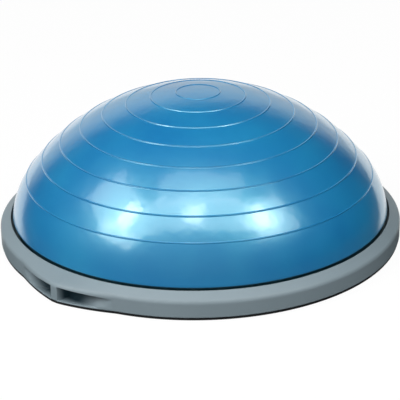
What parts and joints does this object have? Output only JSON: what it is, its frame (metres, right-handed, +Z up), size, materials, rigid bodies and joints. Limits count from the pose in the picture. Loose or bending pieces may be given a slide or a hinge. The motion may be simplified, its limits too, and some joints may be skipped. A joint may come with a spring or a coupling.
{
  "type": "half ball balance trainer",
  "caption": "Inflated half ball of ringed glossy vinyl, clamped by a grey rim with two moulded grips to a flat black platform on rubber feet, with an air valve.",
  "frame": {"origin": "on the dome's axis, on the floor under the centre of the base", "axes": "+Z up along the dome's axis, +X out through one moulded grip and -X through the other, +Y on the side of the air valve"},
  "size_m": [0.6808, 0.65, 0.241],
  "materials": {
    "blue_pvc": "glossy, slightly pearlescent blown vinyl with fine raised rings",
    "grey_polypropylene": "satin moulded",
    "black_polypropylene": "fine moulded grain",
    "black_rubber": "matt",
    "zinc_plated_steel": "zinc plated",
    "valve_vinyl": "smooth",
    "white_polyethylene": "smooth, slightly waxy"
  },
  "bodies": {
    "trainer": {"base_platform": "black_polypropylene", "clamp_screw_01": "zinc_plated_steel", "clamp_screw_02": "zinc_plated_steel", "clamp_screw_03": "zinc_plated_steel", "clamp_screw_04": "zinc_plated_steel", "clamp_screw_05": "zinc_plated_steel", "clamp_screw_06": "zinc_plated_steel", "clamp_screw_07": "zinc_plated_steel", "clamp_screw_08": "zinc_plated_steel", "clamp_screw_09": "zinc_plated_steel", "clamp_screw_10": "zinc_plated_steel", "clamp_screw_11": "zinc_plated_steel", "clamp_screw_12": "zinc_plated_steel", "dome_bladder": "blue_pvc", "rim_ring": "grey_polypropylene", "rubber_foot_1": "black_rubber", "rubber_foot_2": "black_rubber", "rubber_foot_3": "black_rubber", "rubber_foot_4": "black_rubber", "rubber_foot_5": "black_rubber", "rubber_foot_6": "black_rubber", "rubber_foot_7": "black_rubber", "rubber_foot_8": "black_rubber", "valve_seat": "valve_vinyl"},
    "plug": {"valve_plug": "white_polyethylene"}
  },
  "joints": [
    {"name": "valve_plug_pull", "type": "slide", "parent": "trainer", "child": "plug", "axis": [0, 0.9359, 0.3522], "range_m": [0, 0.02]}
  ]
}
